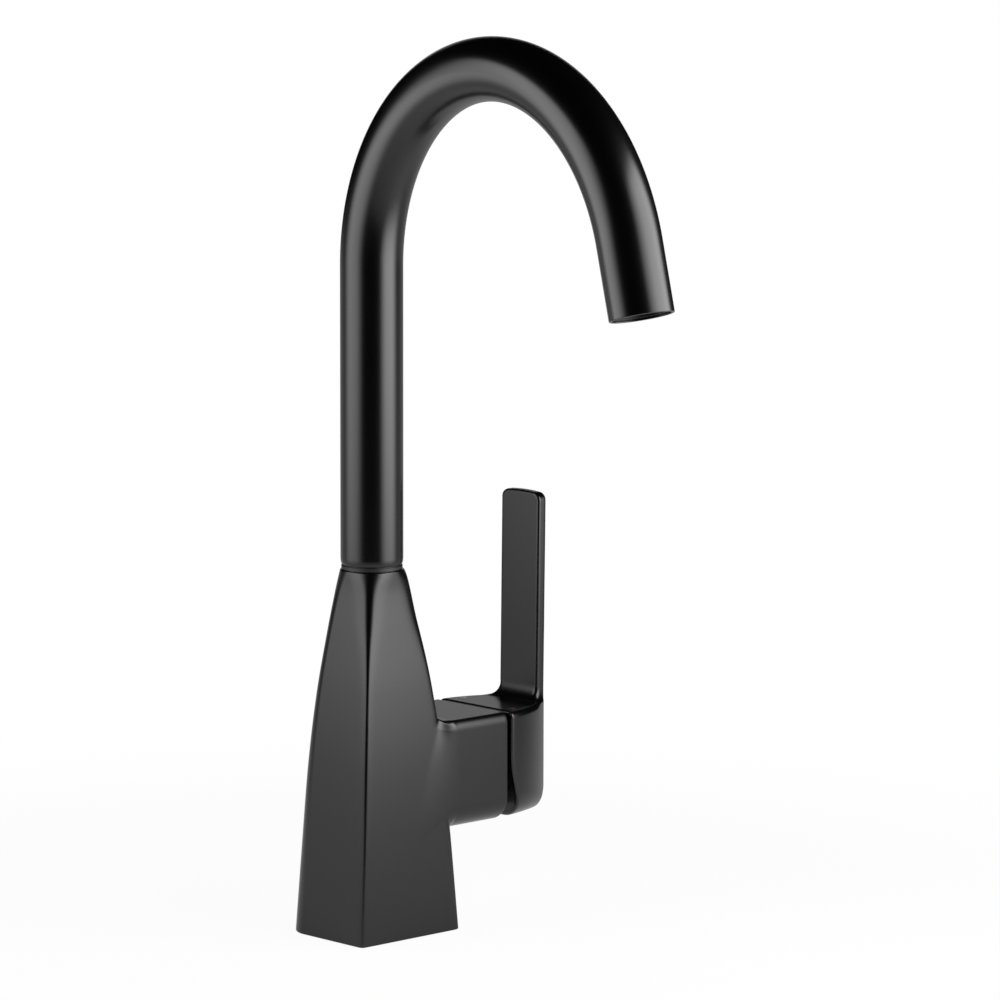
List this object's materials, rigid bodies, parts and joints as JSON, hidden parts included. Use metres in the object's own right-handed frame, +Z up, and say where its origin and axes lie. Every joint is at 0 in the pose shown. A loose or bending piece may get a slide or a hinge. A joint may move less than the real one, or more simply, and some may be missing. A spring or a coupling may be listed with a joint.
{
  "type": "gooseneck bar faucet",
  "caption": "Tall gooseneck bar faucet: tapered square body, swivelling round spout with a recessed aerator, and a side valve arm with an upright flat lever.",
  "frame": {"origin": "on the spout's swivel axis, in the plane of the deck under the foot", "axes": "+Z up along the swivel axis; -Y is the front, where the spout reaches; +X is the user's right, where the valve arm and lever are"},
  "size_m": [0.1163, 0.2068, 0.3683],
  "materials": {
    "satin_black": "satin black powder coat over cast and drawn brass",
    "dull_black": "matte moulded acetal",
    "brass": "turned, uncoated",
    "steel": "turned stainless steel",
    "white_plastic": "moulded, satin",
    "rubber": "matte moulded rubber",
    "ceramic": "lapped alumina",
    "red_mark": "gloss enamel",
    "blue_mark": "gloss enamel"
  },
  "bodies": {
    "body": {"body": "satin_black", "base_gasket": "rubber", "glide_ring": "dull_black", "spout_lock_screw": "steel", "cartridge_base": "white_plastic", "port_seals": "rubber", "fixed_disc": "ceramic", "cartridge_housing": "white_plastic", "bonnet_nut": "brass", "bonnet_cap": "dull_black"},
    "spout": {"spout_tube": "satin_black", "spout_shank": "brass", "spout_orings": "rubber", "lower_glide_ring": "white_plastic", "tip_bushing": "brass", "aerator_housing": "dull_black", "aerator_washer": "rubber", "aerator_screen": "steel", "aerator_cells": "dull_black"},
    "rotor": {"rotor": "white_plastic", "pivot_pin": "steel"},
    "lever": {"lever_stem": "steel", "lever_handle": "satin_black", "handle_screw": "steel", "hot_mark": "red_mark", "cold_mark": "blue_mark"},
    "disc": {"disc_carrier": "white_plastic", "moving_disc": "ceramic"}
  },
  "joints": [
    {"name": "spout_swivel", "type": "hinge", "parent": "body", "child": "spout", "pos_m": [0, 0, 0.149], "axis": [0, 0, 1], "continuous": true},
    {"name": "temperature_turn", "type": "hinge", "parent": "body", "child": "rotor", "pos_m": [0.04, 0, 0.06325], "axis": [1, 0, 0], "range_deg": [-45, 45]},
    {"name": "lever_tilt", "type": "hinge", "parent": "rotor", "child": "lever", "pos_m": [0.04692, 0, 0.06325], "axis": [0, 1, 0], "range_deg": [0, 13]},
    {"name": "disc_slide", "type": "slide", "parent": "rotor", "child": "disc", "axis": [0, 0, 1], "range_m": [0, 0.0023]}
  ],
  "couplings": [
    {"joint": "disc_slide", "follows": "lever_tilt", "m_per_rad": 0.01}
  ]
}
